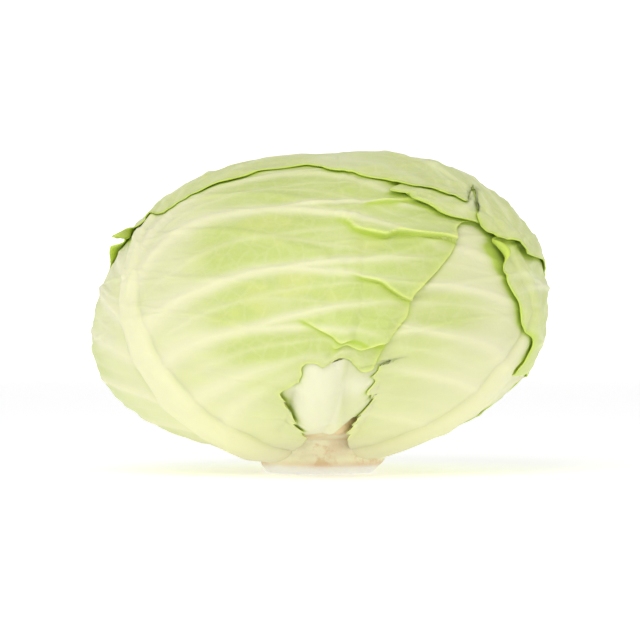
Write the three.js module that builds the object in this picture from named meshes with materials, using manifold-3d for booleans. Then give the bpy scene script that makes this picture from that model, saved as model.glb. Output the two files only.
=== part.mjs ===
// A head of flat-topped white cabbage, standing on the cut face of its stem. Millimetres, +Z up.
// The origin is the middle of the cut face, and the head is seen from the front by looking along +Y.
// Seven leafy pieces and a stem stub: the tight inner head, and six outer leaves wrapped over it and
// over each other, each a closed thin solid with a midrib, side veins and a waved edge.
import * as THREE from 'three';
import Module from 'manifold-3d';
import { mergeVertices } from 'three/addons/utils/BufferGeometryUtils.js';

const wasm = await Module();
wasm.setup();

const { degToRad, radToDeg, smoothstep, lerp } = THREE.MathUtils;

// The head's outer form: a flattened ball, a little fuller in its shoulders than an ellipsoid,
// whose crown lies a little to the right of its stem
const HALF_WIDTH = 99.5;
const HALF_DEPTH = 95;
const MIDDLE_HEIGHT = 66;
const CROWN_RISE = 71;
const UNDERSIDE_DROP = 59.5;
const FULLNESS = 2.14;
const FULLNESS_SKEW = 0.06;
const LEAN = 0.11;
const MM_PER_DEGREE = HALF_WIDTH * Math.PI / 180;

// How the outer leaves lie over the inner head
const WRAP_DEPTH = 5.5;
const BLADE = 0.8;
const AIR_GAP = 1.75;
const COVER_MARGIN = 6;
const COVER_FALL = 22;
const PRESSED_DEPTH = 24;

// Stem stub
const STEM_RADIUS = 26;
const CUT_BEVEL = 2.2;
const CUT_INSET = 1;
const STEM_TOP = 32;
const STEM_SIDES = 36;
const STEM_CLEARANCE = 0.35;

const MERGE_DISTANCE = 1e-4;

// Inner head
const HEAD_DETAIL = 9;
const STEP_HEIGHT = 1.3;
const STEP_WIDTH = 7;
const SECOND_RIB = { azimuth: 21, top: -12, fade: 20, halfWidth: 9, height: 3 };
const INNER_LEAVES = [
  { azimuth: 142, elevation: 20, reach: 82 },
  { azimuth: -80, elevation: 20, reach: 78 },
  { azimuth: 57, elevation: 25, reach: 70 },
];

// A leaf's form along and across it
const RIB_TIP_HALF_WIDTH = 1.2;
const RIB_NARROWING = 1.6;
const RIB_TAPER = 1.2;
const VEIN_HEIGHT = 1.3;
const VEIN_SWEEP = 0.28;
const VEIN_BEND = 0.35;
const VEIN_THINNING = 0.7;
const RIB_ROUNDNESS = 1.5;
const MIDRIB_CROWDING = 1.2;
const EDGE_START = 0.72;
const EDGE_WAVE = 0.4;
const STALK_BEARINGS = [140, 165];

// Outer leaves, from the innermost to the outermost. The outline gives, for bearings round the
// leaf's middle (0 towards its tip, 90 towards its right, seen from outside), how many degrees
// round the head the blade reaches.
const LEAVES = [
  {
    name: 'leaf_front_rib', azimuth: 5, elevation: 8, colour: '#f1f2cd', cells: 16,
    ribHalfWidth: 17, ribHeight: 4, edgeLift: 0.8, waves: 7,
    outline: [[0, 73], [40, 72], [80, 63], [109, 51], [143, 37], [158, 43], [169, 64], [180, 90],
      [-174, 82], [-162, 72], [-136, 63], [-100, 66], [-60, 74], [-30, 75]],
  },
  {
    name: 'leaf_left_back', azimuth: -127, elevation: 8, colour: '#d9e29e', cells: 16,
    ribHalfWidth: 13, ribHeight: 4, edgeLift: 1, waves: 9,
    outline: [[0, 70], [35, 74], [70, 76], [100, 70], [130, 65], [148, 68], [167, 79], [180, 90],
      [-167, 80], [-150, 67], [-130, 65], [-100, 68], [-70, 74], [-35, 73]],
  },
  {
    name: 'leaf_front_right', azimuth: 68, elevation: 8, colour: '#e1e8a8', cells: 20,
    ribHalfWidth: 13, ribHeight: 4.5, edgeLift: 1, waves: 11,
    outline: [[0, 76], [30, 81], [60, 78], [90, 72], [121, 65], [149, 64], [167, 78], [180, 86],
      [-172, 83], [-155, 77], [-148, 73], [-136, 63], [-122, 57], [-110, 57], [-92, 66], [-40, 74]],
  },
  {
    name: 'leaf_front_left', azimuth: -55, elevation: 8, colour: '#d5e092', cells: 20,
    ribHalfWidth: 13, ribHeight: 4.5, edgeLift: 1.6, waves: 13,
    outline: [[0, 69], [21, 67], [43, 77], [55, 90], [65, 88], [83, 79], [104, 77], [111, 73],
      [115, 61], [119, 56], [129, 59], [139, 64], [151, 78], [166, 85], [180, 90], [-165, 83],
      [-149, 70], [-120, 67], [-90, 72], [-50, 74]],
  },
  {
    name: 'leaf_right_back', azimuth: 125, elevation: 5, colour: '#cfdc94', cells: 16,
    ribHalfWidth: 13, ribHeight: 3.5, edgeLift: 1.8, waves: 9,
    standOff: { bearing: -98, spread: 34, height: 5 },
    outline: [[0, 87], [-18, 94], [-41, 96], [-48, 86], [-56, 77], [-66, 68], [-90, 62], [-104, 59],
      [-119, 54], [-129, 45], [-141, 45], [-154, 60], [-166, 75], [180, 83], [168, 76], [147, 65],
      [110, 67], [70, 77], [35, 84]],
  },
  {
    name: 'leaf_back', azimuth: 180, elevation: 12, colour: '#c2ce88', cells: 20,
    ribHalfWidth: 13, ribHeight: 3.5, edgeLift: 2.2, waves: 13, looseness: 0.4,
    standOff: { bearing: -70, spread: 26, height: 3 },
    outline: [[0, 102], [28, 99], [46, 93], [59, 86], [68, 92], [78, 82], [92, 72], [116, 61],
      [141, 63], [165, 80], [180, 94], [-161, 83], [-139, 66], [-114, 61], [-90, 68], [-69, 90],
      [-58, 106], [-49, 110], [-41, 104], [-28, 108], [-17, 110], [-6, 105]],
  },
];

// A direction from the head's middle, by its azimuth (0 to the front, 90 to the right) and elevation
function direction(azimuth, elevation) {
  const a = degToRad(azimuth);
  const e = degToRad(elevation);
  return new THREE.Vector3(Math.cos(e) * Math.sin(a), -Math.cos(e) * Math.cos(a), Math.sin(e));
}

// The point of the head in a direction, at a height over the inner head's surface
function headPoint(toward, height) {
  const half = (CROWN_RISE + UNDERSIDE_DROP) / 2;
  const skew = (CROWN_RISE - UNDERSIDE_DROP) / 2;
  const rise = half + skew * toward.z * (1.5 - 0.5 * toward.z ** 2);
  const fullness = FULLNESS + FULLNESS_SKEW * toward.z;
  const flat = Math.hypot(toward.x, toward.y) ** fullness + Math.abs(toward.z) ** fullness;
  const swell = flat ** (-1 / fullness);
  const outward = new THREE.Vector3(toward.x / HALF_WIDTH, toward.y / HALF_DEPTH, toward.z / rise);
  return new THREE.Vector3(toward.x * HALF_WIDTH, toward.y * HALF_DEPTH, toward.z * rise)
    .multiplyScalar(swell)
    .add(new THREE.Vector3(LEAN * toward.z * rise * swell, 0, MIDDLE_HEIGHT))
    .addScaledVector(outward.normalize(), height - WRAP_DEPTH);
}

// A leaf's own axes on the head: out through its middle, to its right and towards its tip
function leafAxes(leaf) {
  const out = direction(leaf.azimuth, leaf.elevation);
  const right = direction(leaf.azimuth + 90, 0);
  return { out, right, tip: new THREE.Vector3().crossVectors(right, out).negate() };
}

// A smooth closed outline through the leaf's points, with no overshoot: cubic pieces whose slope
// at a point is the harmonic mean of its neighbours' slopes, or level at a crest or a dip
function outlineCurve(points) {
  const sorted = [...points].sort((p, q) => p[0] - q[0]);
  const count = sorted.length;
  const at = (i) => {
    const turn = Math.floor(i / count);
    const [bearing, reach] = sorted[i - turn * count];
    return [bearing + 360 * turn, reach];
  };
  const pitch = (i) => (at(i + 1)[1] - at(i)[1]) / (at(i + 1)[0] - at(i)[0]);
  const slope = (i) => {
    const before = pitch(i - 1);
    const after = pitch(i);
    return before * after > 0 ? 2 * before * after / (before + after) : 0;
  };
  return (bearing) => {
    let i = -1;
    while (at(i + 1)[0] <= bearing) i += 1;
    const [x0, y0] = at(i);
    const [x1, y1] = at(i + 1);
    const span = x1 - x0;
    const t = (bearing - x0) / span;
    const rest = 1 - t;
    return y0 * rest * rest * (1 + 2 * t) + y1 * t * t * (3 - 2 * t)
      + span * (slope(i) * t * rest * rest - slope(i + 1) * t * t * rest);
  };
}

// 1 over the blade and 0 at the stalk end of a leaf, where its edge runs smoothly into the stem
function bladeShare(bearing) {
  return 1 - smoothstep(Math.abs(bearing), ...STALK_BEARINGS);
}

// The edge's reach with its waves
function reachAt(leaf, bearing) {
  const wave = leaf.edgeLift * Math.sin(degToRad(bearing * leaf.waves));
  return leaf.curve(bearing) + wave * bladeShare(bearing);
}

// How far a side vein has risen towards the tip, at a distance u from the midrib
function veinRise(u) {
  return VEIN_SWEEP * (1 - Math.exp(-Math.abs(u) / VEIN_BEND));
}

// From a leaf's grid (u across, v along, each -1 to 1) to a direction of the head. The grid's
// square becomes a disc, and the disc becomes the leaf's outline.
function unfold(leaf, u, v) {
  const lifted = v + veinRise(u) * (1 - v * v);
  const x = u * Math.sqrt(1 - lifted * lifted / 2);
  const y = lifted * Math.sqrt(1 - u * u / 2);
  const bearing = radToDeg(Math.atan2(x, y));
  const away = degToRad(Math.hypot(x, y) * reachAt(leaf, bearing));
  return new THREE.Vector3()
    .addScaledVector(leaf.axes.out, Math.cos(away))
    .addScaledVector(leaf.axes.right, Math.sin(away) * Math.sin(degToRad(bearing)))
    .addScaledVector(leaf.axes.tip, Math.sin(away) * Math.cos(degToRad(bearing)));
}

// Where a direction lies on a leaf: its share of the way to the edge, the millimetres past the
// edge, the millimetres from the midrib, and its place along the leaf
function placeOn(leaf, toward) {
  const away = radToDeg(toward.angleTo(leaf.axes.out));
  const bearing = radToDeg(Math.atan2(toward.dot(leaf.axes.right), toward.dot(leaf.axes.tip)));
  const reach = reachAt(leaf, bearing);
  const share = Math.min(away / reach, 1);
  return {
    bearing,
    share,
    past: (away - reach) * MM_PER_DEGREE,
    across: radToDeg(Math.asin(toward.dot(leaf.axes.right))) * MM_PER_DEGREE,
    along: share * Math.cos(degToRad(bearing)),
  };
}

// 1 over a leaf and just past its edge, falling to 0 where the leaves outside it lie flat again
function cover(place) {
  return 1 - smoothstep(place.past, COVER_MARGIN, COVER_MARGIN + COVER_FALL);
}

// The midrib's height: a rounded ridge, thick and broad at the stalk and fading to the tip
function ribRelief(leaf, place) {
  const towardStalk = (1 - place.along) / 2;
  const halfWidth = lerp(RIB_TIP_HALF_WIDTH, leaf.ribHalfWidth, towardStalk ** RIB_NARROWING);
  const share = Math.min(Math.abs(place.across) / halfWidth, 1);
  return leaf.ribHeight * towardStalk ** RIB_TAPER * (1 - share * share) ** RIB_ROUNDNESS;
}

// How far the blade stands off what is under it: its waved edge, and a place where it stands away
function lift(leaf, place) {
  const edge = smoothstep(place.share, EDGE_START, 1) * bladeShare(place.bearing);
  const wave = 1 - EDGE_WAVE + EDGE_WAVE * Math.cos(degToRad(place.bearing * leaf.waves));
  let height = (leaf.looseness ?? 0) + leaf.edgeLift * edge * wave;
  if (leaf.standOff) {
    const off = (place.bearing - leaf.standOff.bearing) / leaf.standOff.spread;
    height += leaf.standOff.height * Math.exp(-off * off) * edge;
  }
  return height;
}

// 1 where no leaf outside this one covers a direction, and 0 well under one
function shown(index, toward) {
  return LEAVES.slice(index + 1).reduce((open, outer) => {
    const place = placeOn(outer, toward);
    return Math.min(open, smoothstep(place.past, -PRESSED_DEPTH, 0));
  }, 1);
}

// The inner head's relief: the thick rib of its own outermost leaf, and the steps of leaf edges
function innerRib(toward) {
  const elevation = radToDeg(Math.asin(toward.z));
  const azimuth = radToDeg(Math.atan2(toward.x, -toward.y));
  const across = (azimuth - SECOND_RIB.azimuth) * Math.cos(degToRad(elevation)) * MM_PER_DEGREE;
  const share = Math.min(Math.abs(across) / SECOND_RIB.halfWidth, 1);
  const fade = smoothstep(-elevation, -SECOND_RIB.top, SECOND_RIB.fade - SECOND_RIB.top);
  return SECOND_RIB.height * fade * (1 - share * share) ** RIB_ROUNDNESS;
}

function innerSteps(toward) {
  return INNER_LEAVES.reduce((depth, inner) => {
    const away = radToDeg(toward.angleTo(direction(inner.azimuth, inner.elevation)));
    const past = (away - inner.reach) * MM_PER_DEGREE;
    return depth - STEP_HEIGHT * smoothstep(past, -STEP_WIDTH / 2, STEP_WIDTH / 2);
  }, 0);
}

// The underside of a leaf in a direction, resting over all the leaves inside it
function underside(index, toward) {
  let top = innerRib(toward);
  for (let i = 0; i < index; i += 1) {
    const place = placeOn(LEAVES[i], toward);
    const own = top + AIR_GAP + lift(LEAVES[i], place) * shown(i, toward) + BLADE;
    top = lerp(top, own + ribRelief(LEAVES[i], place), cover(place));
  }
  const leaf = LEAVES[index];
  return top + AIR_GAP + lift(leaf, placeOn(leaf, toward)) * shown(index, toward);
}

// The grid's lines across a leaf crowd towards the midrib
function crowded(t) {
  return Math.sign(t) * Math.abs(t) ** MIDRIB_CROWDING;
}

// Every second line along a leaf carries a side vein, which thins towards the edge
function veinRelief(row, u, open) {
  return row % 2 === 1 ? VEIN_HEIGHT * (1 - Math.abs(u)) ** VEIN_THINNING * open : 0;
}

// A leaf's closed thin solid: an outer face with its ribs, a smooth inner face and a rim
function leafGeometry(index) {
  const leaf = LEAVES[index];
  const n = leaf.cells;
  const outer = [];
  const inner = [];
  for (let row = 0; row <= n; row += 1) {
    for (let column = 0; column <= n; column += 1) {
      const u = crowded(2 * column / n - 1);
      const toward = unfold(leaf, u, 2 * row / n - 1);
      const place = placeOn(leaf, toward);
      const under = underside(index, toward);
      const relief = ribRelief(leaf, place) + veinRelief(row, u, shown(index, toward));
      outer.push(...headPoint(toward, under + BLADE + relief).toArray());
      inner.push(...headPoint(toward, under).toArray());
    }
  }
  const width = n + 1;
  const back = width * width;
  const faces = [];
  for (let row = 0; row < n; row += 1) {
    for (let column = 0; column < n; column += 1) {
      const a = row * width + column;
      const b = a + 1;
      const c = a + width + 1;
      const d = a + width;
      const rising = (row < n / 2) === (column < n / 2);
      const pair = rising ? [[a, b, c], [a, c, d]] : [[a, b, d], [b, c, d]];
      for (const [i, j, k] of pair) faces.push(i, j, k, back + i, back + k, back + j);
    }
  }
  const rim = [];
  for (let i = 0; i < n; i += 1) rim.push(i);
  for (let i = 0; i < n; i += 1) rim.push(i * width + n);
  for (let i = n; i > 0; i -= 1) rim.push(n * width + i);
  for (let i = n; i > 0; i -= 1) rim.push(i * width);
  rim.forEach((from, i) => {
    const to = rim[(i + 1) % rim.length];
    faces.push(from, back + from, back + to, from, back + to, to);
  });
  const geometry = new THREE.BufferGeometry();
  geometry.setAttribute('position', new THREE.Float32BufferAttribute([...outer, ...inner], 3));
  geometry.setIndex(faces);
  return geometry;
}

// A closed three.js mesh as a solid for cutting, and back
function toSolid(geometry) {
  const bare = geometry.clone();
  bare.deleteAttribute('normal');
  bare.deleteAttribute('uv');
  const merged = mergeVertices(bare, MERGE_DISTANCE);
  return new wasm.Manifold(new wasm.Mesh({
    numProp: 3,
    vertProperties: new Float32Array(merged.attributes.position.array),
    triVerts: new Uint32Array(merged.index.array),
  }));
}

function toGeometry(solid) {
  const mesh = solid.getMesh();
  const geometry = new THREE.BufferGeometry();
  geometry.setAttribute('position', new THREE.Float32BufferAttribute(mesh.vertProperties, 3));
  geometry.setIndex(Array.from(mesh.triVerts));
  geometry.computeVertexNormals();
  return geometry;
}

// The stub: a bevelled pale cut, nearly straight sides, then a flare where the leaves grow out
function stemGeometry(grown) {
  const outline = [
    [STEM_RADIUS - CUT_BEVEL - CUT_INSET, 0],
    [STEM_RADIUS - CUT_INSET, CUT_BEVEL],
    [STEM_RADIUS, 2 * CUT_BEVEL],
    [STEM_RADIUS, 9],
    [STEM_RADIUS + 1.5, 13],
    [STEM_RADIUS + 5, 17.5],
    [STEM_RADIUS + 6, 20.5],
    [STEM_RADIUS + 2, 24.5],
    [STEM_RADIUS - 9, 30],
  ].map(([radius, height]) => new THREE.Vector2(radius + grown, height));
  outline[0].y -= grown;
  const profile = [new THREE.Vector2(0, -grown), ...outline, new THREE.Vector2(0, STEM_TOP + grown)];
  return new THREE.LatheGeometry(profile, STEM_SIDES).rotateX(Math.PI / 2);
}

// The tight inner head: a ball of fine triangles pushed out to the head's form
function headGeometry() {
  const ball = new THREE.IcosahedronGeometry(1, HEAD_DETAIL);
  ball.deleteAttribute('normal');
  ball.deleteAttribute('uv');
  const geometry = mergeVertices(ball, MERGE_DISTANCE);
  const place = geometry.attributes.position;
  const toward = new THREE.Vector3();
  for (let i = 0; i < place.count; i += 1) {
    toward.fromBufferAttribute(place, i).normalize();
    const point = headPoint(toward, innerRib(toward) + innerSteps(toward));
    place.setXYZ(i, point.x, point.y, point.z);
  }
  return geometry;
}

function tissue(colour) {
  return new THREE.MeshStandardMaterial({ color: colour, roughness: 0.5, metalness: 0, flatShading: true });
}

function piece(name, geometry, colour) {
  const mesh = new THREE.Mesh(geometry, tissue(colour));
  mesh.name = name;
  return mesh;
}

for (const leaf of LEAVES) {
  leaf.axes = leafAxes(leaf);
  leaf.curve = outlineCurve(leaf.outline);
}

const cabbage = new THREE.Group();
const socket = toSolid(stemGeometry(STEM_CLEARANCE));

cabbage.add(piece('stem_stub', stemGeometry(0), '#f3efd2'));
cabbage.add(piece('inner_head', toGeometry(toSolid(headGeometry()).subtract(socket)), '#e6ebb4'));
LEAVES.forEach((leaf, index) => {
  const blade = toSolid(leafGeometry(index)).subtract(socket);
  cabbage.add(piece(leaf.name, toGeometry(blade), leaf.colour));
});

export default cabbage;
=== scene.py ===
"""A head of flat-topped white cabbage, standing on the cut face of its stem.

The head is a stack of thin leaves, each wrapped over the ones inside it. A leaf is a surface of two
parameters: a square grid is bent into a disc, the disc is stretched to the leaf's outline on the
head, and each point rests over whatever leaves lie beneath it. Work is in millimetres and degrees
round the head, and each finished mesh is turned to metres.
"""
from __future__ import annotations

import logging
import math
from dataclasses import dataclass
from enum import Enum
from typing import Iterable, Sequence

import bpy
import numpy as np
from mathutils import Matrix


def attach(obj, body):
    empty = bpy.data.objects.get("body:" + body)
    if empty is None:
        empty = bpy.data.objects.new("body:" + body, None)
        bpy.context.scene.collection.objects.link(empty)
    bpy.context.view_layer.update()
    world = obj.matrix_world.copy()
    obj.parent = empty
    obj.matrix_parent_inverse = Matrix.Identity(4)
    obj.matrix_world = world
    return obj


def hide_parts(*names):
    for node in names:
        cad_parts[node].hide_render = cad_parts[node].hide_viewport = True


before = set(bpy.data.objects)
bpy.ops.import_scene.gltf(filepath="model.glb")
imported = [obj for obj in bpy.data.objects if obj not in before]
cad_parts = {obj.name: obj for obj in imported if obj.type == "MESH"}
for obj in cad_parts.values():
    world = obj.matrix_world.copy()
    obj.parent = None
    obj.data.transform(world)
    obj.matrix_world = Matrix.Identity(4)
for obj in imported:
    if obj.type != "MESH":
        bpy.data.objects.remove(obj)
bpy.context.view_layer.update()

log = logging.getLogger("cabbage")

METRES_PER_MM = 0.001
UV_SPAN_DEGREES = 240.0


def smooth(value: np.ndarray, low: float, high: float) -> np.ndarray:
    """Rises from 0 at low to 1 at high with level ends, or falls where high is under low.

    Args:
        value: What the step is taken of.
        low: Where the step starts.
        high: Where it ends.

    Returns:
        The share risen, 0 to 1.
    """
    share = np.clip((value - low) / (high - low), 0.0, 1.0)
    return share * share * (3.0 - 2.0 * share)


def bell(value: np.ndarray, width: float) -> np.ndarray:
    """A round hump of height 1 at value 0, down to 0.37 at one width."""
    return np.exp(-np.square(value / width))


def smooth_curve(points: Sequence[tuple[float, float]], x: np.ndarray, closed: bool) -> np.ndarray:
    """Reads a smooth curve through a few points, with no overshoot.

    Each piece is a cubic. Its slope at a point is the harmonic mean of the slopes of the straight
    lines on both sides, or level where those two point different ways.

    Args:
        points: The points, as pairs of place and value.
        x: The places to read.
        closed: True where the curve goes round once in 360 degrees.

    Returns:
        The curve's values.
    """
    xs, ys = np.array(sorted(points), float).T
    if closed:
        xs = np.concatenate([xs[-3:] - 360.0, xs, xs[:3] + 360.0])
        ys = np.concatenate([ys[-3:], ys, ys[:3]])
    else:
        xs = np.concatenate([[xs[0] - 2.0, xs[0] - 1.0], xs, [xs[-1] + 1.0, xs[-1] + 2.0]])
        ys = np.concatenate([[ys[0]] * 2, ys, [ys[-1]] * 2])
        x = np.clip(x, xs[1], xs[-2])
    pitch = np.diff(ys) / np.diff(xs)
    before, after = pitch[:-1], pitch[1:]
    total = np.where(before * after > 0.0, before + after, 1.0)
    slope = np.where(before * after > 0.0, 2.0 * before * after / total, 0.0)
    slope = np.concatenate([[0.0], slope, [0.0]])
    left = np.clip(np.searchsorted(xs, x, side="right") - 1, 0, len(xs) - 2)
    span = xs[left + 1] - xs[left]
    t = (x - xs[left]) / span
    rest = 1.0 - t
    return (ys[left] * rest * rest * (1.0 + 2.0 * t) + ys[left + 1] * t * t * (3.0 - 2.0 * t)
            + span * (slope[left] * t * rest * rest - slope[left + 1] * t * t * rest))


def lattice_noise(places: np.ndarray, cell: float, seed: int) -> np.ndarray:
    """Smooth noise: random values at the corners of a cubic lattice, blended between them.

    Args:
        places: Points, with x, y and z in the last axis.
        cell: The lattice's pitch, in the points' unit.
        seed: Picks the random values.

    Returns:
        The noise, -1 to 1.
    """
    scaled = places / cell
    corner = np.floor(scaled).astype(np.int64)
    part = scaled - corner
    part = part * part * (3.0 - 2.0 * part)
    total = np.zeros(places.shape[:-1])
    for step in np.ndindex(2, 2, 2):
        at = corner + np.array(step)
        mixed = at[..., 0] * 374761393 + at[..., 1] * 668265263 + at[..., 2] * 2147483647 + seed * 974711
        mixed = (mixed ^ (mixed >> 13)) * 1274126177
        value = ((mixed ^ (mixed >> 16)) & 0xFFFFF) / float(0xFFFFF)
        weight = np.ones(places.shape[:-1])
        for axis, far in enumerate(step):
            weight = weight * (part[..., axis] if far else 1.0 - part[..., axis])
        total += weight * value
    return 2.0 * total - 1.0


def rough_noise(places: np.ndarray, cell: float, seed: int, octaves: int = 3) -> np.ndarray:
    """Sums lattice noise at halving pitch and height, so it has broad and fine parts.

    Args:
        places: Points, with x, y and z in the last axis.
        cell: The pitch of the broadest part.
        seed: Picks the random values.
        octaves: How many parts are summed.

    Returns:
        The noise, about -1 to 1.
    """
    parts = [lattice_noise(places, cell / 2.0**i, seed + i) / 2.0**i for i in range(octaves)]
    return sum(parts) / (2.0 - 2.0 ** (1 - octaves))


def flat_places(x: np.ndarray, y: np.ndarray) -> np.ndarray:
    """Flat leaf coordinates as points for the noise functions."""
    return np.stack([x, y, np.zeros_like(x)], axis=-1)


def facing(azimuth: np.ndarray, elevation: np.ndarray) -> np.ndarray:
    """Directions from the head's middle, by degrees of azimuth and elevation.

    Azimuth 0 is the front and 90 the right, and elevation 90 is straight up.

    Args:
        azimuth: The azimuths.
        elevation: The elevations.

    Returns:
        Unit directions, with x, y and z in the last axis.
    """
    a, e = np.radians(azimuth), np.radians(elevation)
    level = np.cos(e)
    return np.stack(np.broadcast_arrays(level * np.sin(a), -level * np.cos(a), np.sin(e)), axis=-1)


def unit(vectors: np.ndarray) -> np.ndarray:
    """Scales vectors to length 1."""
    return vectors / np.linalg.norm(vectors, axis=-1, keepdims=True)


@dataclass(frozen=True)
class HeadForm:
    """The flattened ball that the leaves wrap, in millimetres.

    It is a little fuller in its shoulders than an ellipsoid, and higher over its middle than under
    it. It leans: its crown lies a little to the right of its stem. The wrap is how deep the inner
    head's skin lies under that form.
    """

    half_width: float = 99.2
    half_depth: float = 95.0
    middle: float = 66.0
    crown: float = 74.0
    underside: float = 59.5
    fullness: float = 2.14
    fullness_skew: float = 0.06
    lean: float = 0.11
    wrap: float = 2.4
    lump_height: float = 1.1
    lump_pitch: float = 0.62
    lump_seed: int = 5

    @property
    def mm_per_degree(self) -> float:
        """The length of one degree round the head's middle."""
        return self.half_width * math.pi / 180.0

    def outward(self, toward: np.ndarray) -> np.ndarray:
        """The way out of the skin in each direction, as an ellipsoid's normal."""
        radii = np.array([self.half_width, self.half_depth, (self.crown + self.underside) / 2.0])
        return unit(toward / radii)

    def point(self, toward: np.ndarray, height: np.ndarray) -> np.ndarray:
        """Places points over the skin.

        A direction is stretched to the ball's three radii, where the upright one runs smoothly
        from the underside's to the crown's, and divided by the sum of the powers of its level and
        upright shares, which squares the shoulders. Broad lumps and the height go outward.

        Args:
            toward: Unit directions from the head's middle.
            height: Millimetres over the inner head's skin.

        Returns:
            The points, in millimetres.
        """
        up = toward[..., 2]
        half = (self.crown + self.underside) / 2.0
        skew = (self.crown - self.underside) / 2.0
        rise = half + skew * up * (1.5 - 0.5 * up * up)
        level = np.hypot(toward[..., 0], toward[..., 1])
        power = self.fullness + self.fullness_skew * up
        swell = (level**power + np.abs(up) ** power) ** (-1.0 / power)
        stretched = np.stack(
            [toward[..., 0] * self.half_width, toward[..., 1] * self.half_depth, up * rise], axis=-1
        )
        lumps = self.lump_height * rough_noise(toward, self.lump_pitch, self.lump_seed, 2)
        place = stretched * swell[..., None] + np.array([0.0, 0.0, self.middle])
        place[..., 0] += self.lean * (place[..., 2] - self.middle)
        return place + self.outward(toward) * (height - self.wrap + lumps)[..., None]


@dataclass(frozen=True)
class Fold:
    """A crease along a path in flat degrees, where the blade above laps down over that below.

    In millimetres, height is how far the upper lip stands up, back how far behind the crease it has
    sunk to 0.37 of that, overhang how far it laps over, and steep how wide its front is.
    """

    path: tuple[tuple[float, float], ...]
    height: float
    back: float = 10.0
    overhang: float = 2.6
    steep: float = 3.0


@dataclass(frozen=True)
class Bulge:
    """A smooth round swelling of the blade, an ellipse in flat degrees with its height in mm."""

    x: float
    y: float
    half_width: float
    half_length: float
    height: float


@dataclass(frozen=True)
class Curl:
    """A stretch of edge that rolls outward, round a bearing.

    The last length of the blade, in millimetres, goes round a circle of the radius.
    """

    bearing: float
    spread: float
    length: float
    radius: float


@dataclass(frozen=True)
class StandOff:
    """A stretch of edge that stands away from what is under it, by a height in millimetres."""

    bearing: float
    spread: float
    height: float


@dataclass(frozen=True)
class Notch:
    """A torn slit in the edge at one bearing, with its half width and depth in degrees."""

    mouth: float
    half_width: float
    depth: float


@dataclass(frozen=True)
class Drift:
    """A stretch of blade that slides along its edge, by degrees of bearing at each reach."""

    bearing: float
    spread: float
    path: tuple[tuple[float, float], ...]


@dataclass(frozen=True)
class Teeth:
    """A stretch of edge with small ragged teeth, in degrees of reach, that fade at its ends."""

    start: float
    stop: float
    size: float
    fade: float = 4.0


@dataclass(frozen=True)
class Tone:
    """How green a leaf is, 0 for white and 1 for its full green.

    It goes from the least to the most between two distances from the midrib, in degrees, and comes
    in up the leaf between two heights along it. The blotch is how much it varies from place to
    place.
    """

    least: float = 0.15
    most: float = 0.9
    from_rib: tuple[float, float] = (10.0, 38.0)
    up_leaf: tuple[float, float] = (-62.0, -8.0)
    blotch: float = 0.22


@dataclass
class Place:
    """Where directions lie on one leaf.

    bearing and share give the way and the share of the way to the edge, past the millimetres
    beyond the edge, x and y the flat degrees, and across the millimetres from the midrib.
    """

    bearing: np.ndarray
    share: np.ndarray
    past: np.ndarray
    x: np.ndarray
    y: np.ndarray
    across: np.ndarray


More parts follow.
